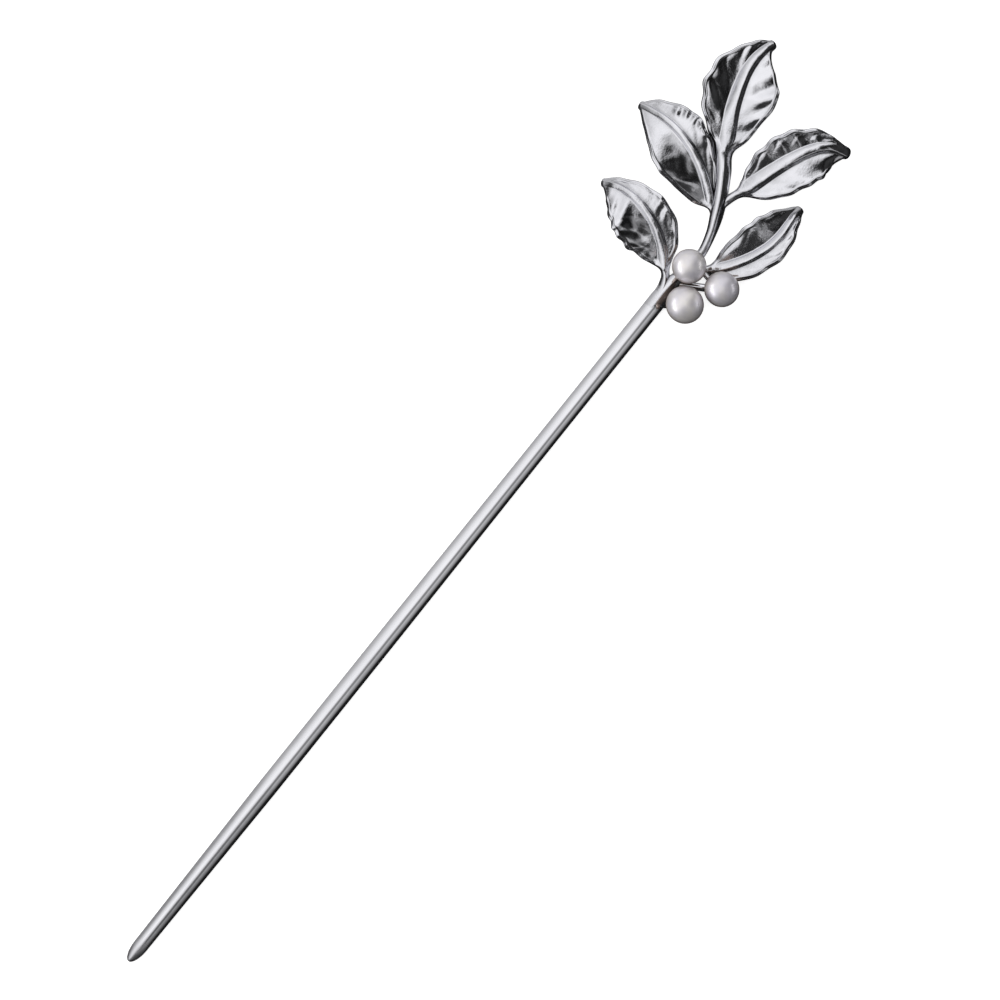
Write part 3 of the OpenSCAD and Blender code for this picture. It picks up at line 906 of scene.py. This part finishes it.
def tone_ramp(tree, share, column):
    """A ramp through one column of the sky's tones."""
    tones = add(tree, "ShaderNodeValToRGB", {"Fac": share})
    ramp = tones.color_ramp
    for i, row in enumerate(SKY):
        stop = ramp.elements[i] if i < 2 else ramp.elements.new(1.0)
        stop.position = (row[0] + 180) / 360
        tone = linear(row[column])
        stop.color = (tone, tone, tone, 1)
    return tones.outputs["Color"]


def sky():
    """World colours by direction, from the table above."""
    world = bpy.data.worlds.new("studio_sky")
    bpy.context.scene.world = world
    world.use_nodes = True
    tree = world.node_tree
    tree.nodes.clear()
    way = add(tree, "ShaderNodeTexCoord").outputs["Generated"]
    towards, upward, along = (
        add(tree, "ShaderNodeVectorMath", {0: way, 1: axis}, operation="DOT_PRODUCT").outputs["Value"]
        for axis in ((0, 1, 0), (0, 0, 1), (1, 0, 0)))
    angle = add(tree, "ShaderNodeMath", {0: towards, 1: upward}, operation="ARCTAN2")
    share = add(tree, "ShaderNodeMapRange", {
        "Value": angle.outputs[0], "From Min": -math.pi, "From Max": math.pi}).outputs["Result"]
    tones = tone_ramp(tree, share, 1)
    for column, side in ((2, 1), (3, -1)):
        off_plane = add(tree, "ShaderNodeMapRange", {
            "Value": along, "From Min": side * PLANE_REACH[0], "From Max": side * PLANE_REACH[1]})
        mixed = add(tree, "ShaderNodeMix", {
            "Factor": off_plane.outputs["Result"], "A": tones, "B": tone_ramp(tree, share, column),
        }, data_type="RGBA")
        tones = mixed.outputs["Result"]
    shade = add(tree, "ShaderNodeBackground", {"Color": tones, "Strength": SKY_STRENGTH})
    add(tree, "ShaderNodeOutputWorld", {"Surface": shade.outputs[0]})
    print("sky:", len(SKY), "angles")


sky()

# %% [markdown]
# ## The table top, the lamps and the camera
# The stick lies on a plain white sheet that glows a little, as a light table does. The sheet
# doesn't show in mirrors and sends no light back up, because its glow would wash out the dark
# sides of the metal and of the pearls.

# %% Table top
def white_sheet():
    """Matt white acrylic, lit a little from below as a light table is."""
    material, _, _ = new_material("opal_acrylic", {
        "Base Color": colour("#F2F2F2"), "Roughness": 0.9, "Specular IOR Level": 0.0,
        "Emission Color": colour("#FFFFFF"), "Emission Strength": 0.75})
    return material


HALF_SHEET = 3.0            # m, from the middle of the sheet to its sides
bpy.ops.mesh.primitive_plane_add(size=2 * HALF_SHEET, location=(0, 0, 0))
sheet = bpy.context.object
sheet.name = "table_top"
sheet.data.materials.append(white_sheet())
sheet.visible_glossy = False
sheet.visible_diffuse = False
print("sheet, m:", 2 * HALF_SHEET)

# %% [markdown]
# A soft lamp overhead lights the sheet and the pearls, and no mirror shows it. A wide lamp at the
# left and a smaller one at the right put the two highlights on each pearl. They are linked to the
# pearls alone, so the metal doesn't mirror them.

# %% Lamps
VIEW_TURN = math.radians(-51.3)     # the photo's upright direction, turned about Z


def lamp(name, azimuth, tilt, distance, size, power, mirrored):
    """A soft rectangular lamp at an angle from straight above, turned round Z from the photo's right."""
    data = bpy.data.lights.new(name, "AREA")
    data.shape, data.size, data.size_y, data.energy = "RECTANGLE", size[0], size[1], power
    made = bpy.data.objects.new(name, data)
    bpy.context.scene.collection.objects.link(made)
    turn = VIEW_TURN + math.radians(azimuth)
    back = Vector((
        math.sin(math.radians(tilt)) * math.cos(turn),
        math.sin(math.radians(tilt)) * math.sin(turn),
        math.cos(math.radians(tilt))))
    made.location = back * distance
    made.rotation_euler = back.to_track_quat("Z", "Y").to_euler()
    made.visible_camera = False
    made.visible_glossy = mirrored
    return made


lamp("overhead_lamp", azimuth=0, tilt=0, distance=1.6, size=(1.6, 1.6), power=9.0, mirrored=False)
beads = bpy.data.collections.new("beads")
for name in PEARLS:
    beads.objects.link(bpy.data.objects[name + "_bead"])
for bead_lamp in (
    lamp("left_lamp", azimuth=184, tilt=71, distance=2.4, size=(2.9, 0.8), power=29.0, mirrored=True),
    lamp("right_lamp", azimuth=6, tilt=78, distance=2.4, size=(1.7, 0.45), power=7.5, mirrored=True),
):
    bead_lamp.light_linking.receiver_collection = beads

# %% [markdown]
# The camera looks straight down, as the photo does. Its lens is long and it hangs high, so that
# perspective hardly shows. The photo's width in millimetres, measured at the leaves, and the point
# in its middle place the camera, and the stick's slant in the photo gives its turn.

# %% Camera
PHOTO_WIDTH = 151.2                 # mm across the photo, at the height of the leaves
PHOTO_MIDDLE = (-40.4, -0.26)       # mm from the fork
LEAF_HEIGHT = 2.0                   # mm, where that width is measured
LENS, SENSOR = 200.0, 36.0          # mm

camera_data = bpy.data.cameras.new("camera")
camera_data.lens, camera_data.sensor_width = LENS, SENSOR
camera = bpy.data.objects.new("camera", camera_data)
bpy.context.scene.collection.objects.link(camera)
aim = to_metres([PHOTO_MIDDLE[0], PHOTO_MIDDLE[1], LEAF_HEIGHT])
distance = PHOTO_WIDTH * MM * LENS / SENSOR
camera.location = (aim[0], aim[1], aim[2] + distance)
camera.rotation_euler = (0, 0, VIEW_TURN)
bpy.context.scene.camera = camera
bpy.context.scene.view_settings.view_transform = "Standard"
print("camera above the table, mm:", round(camera.location.z / MM, 1))
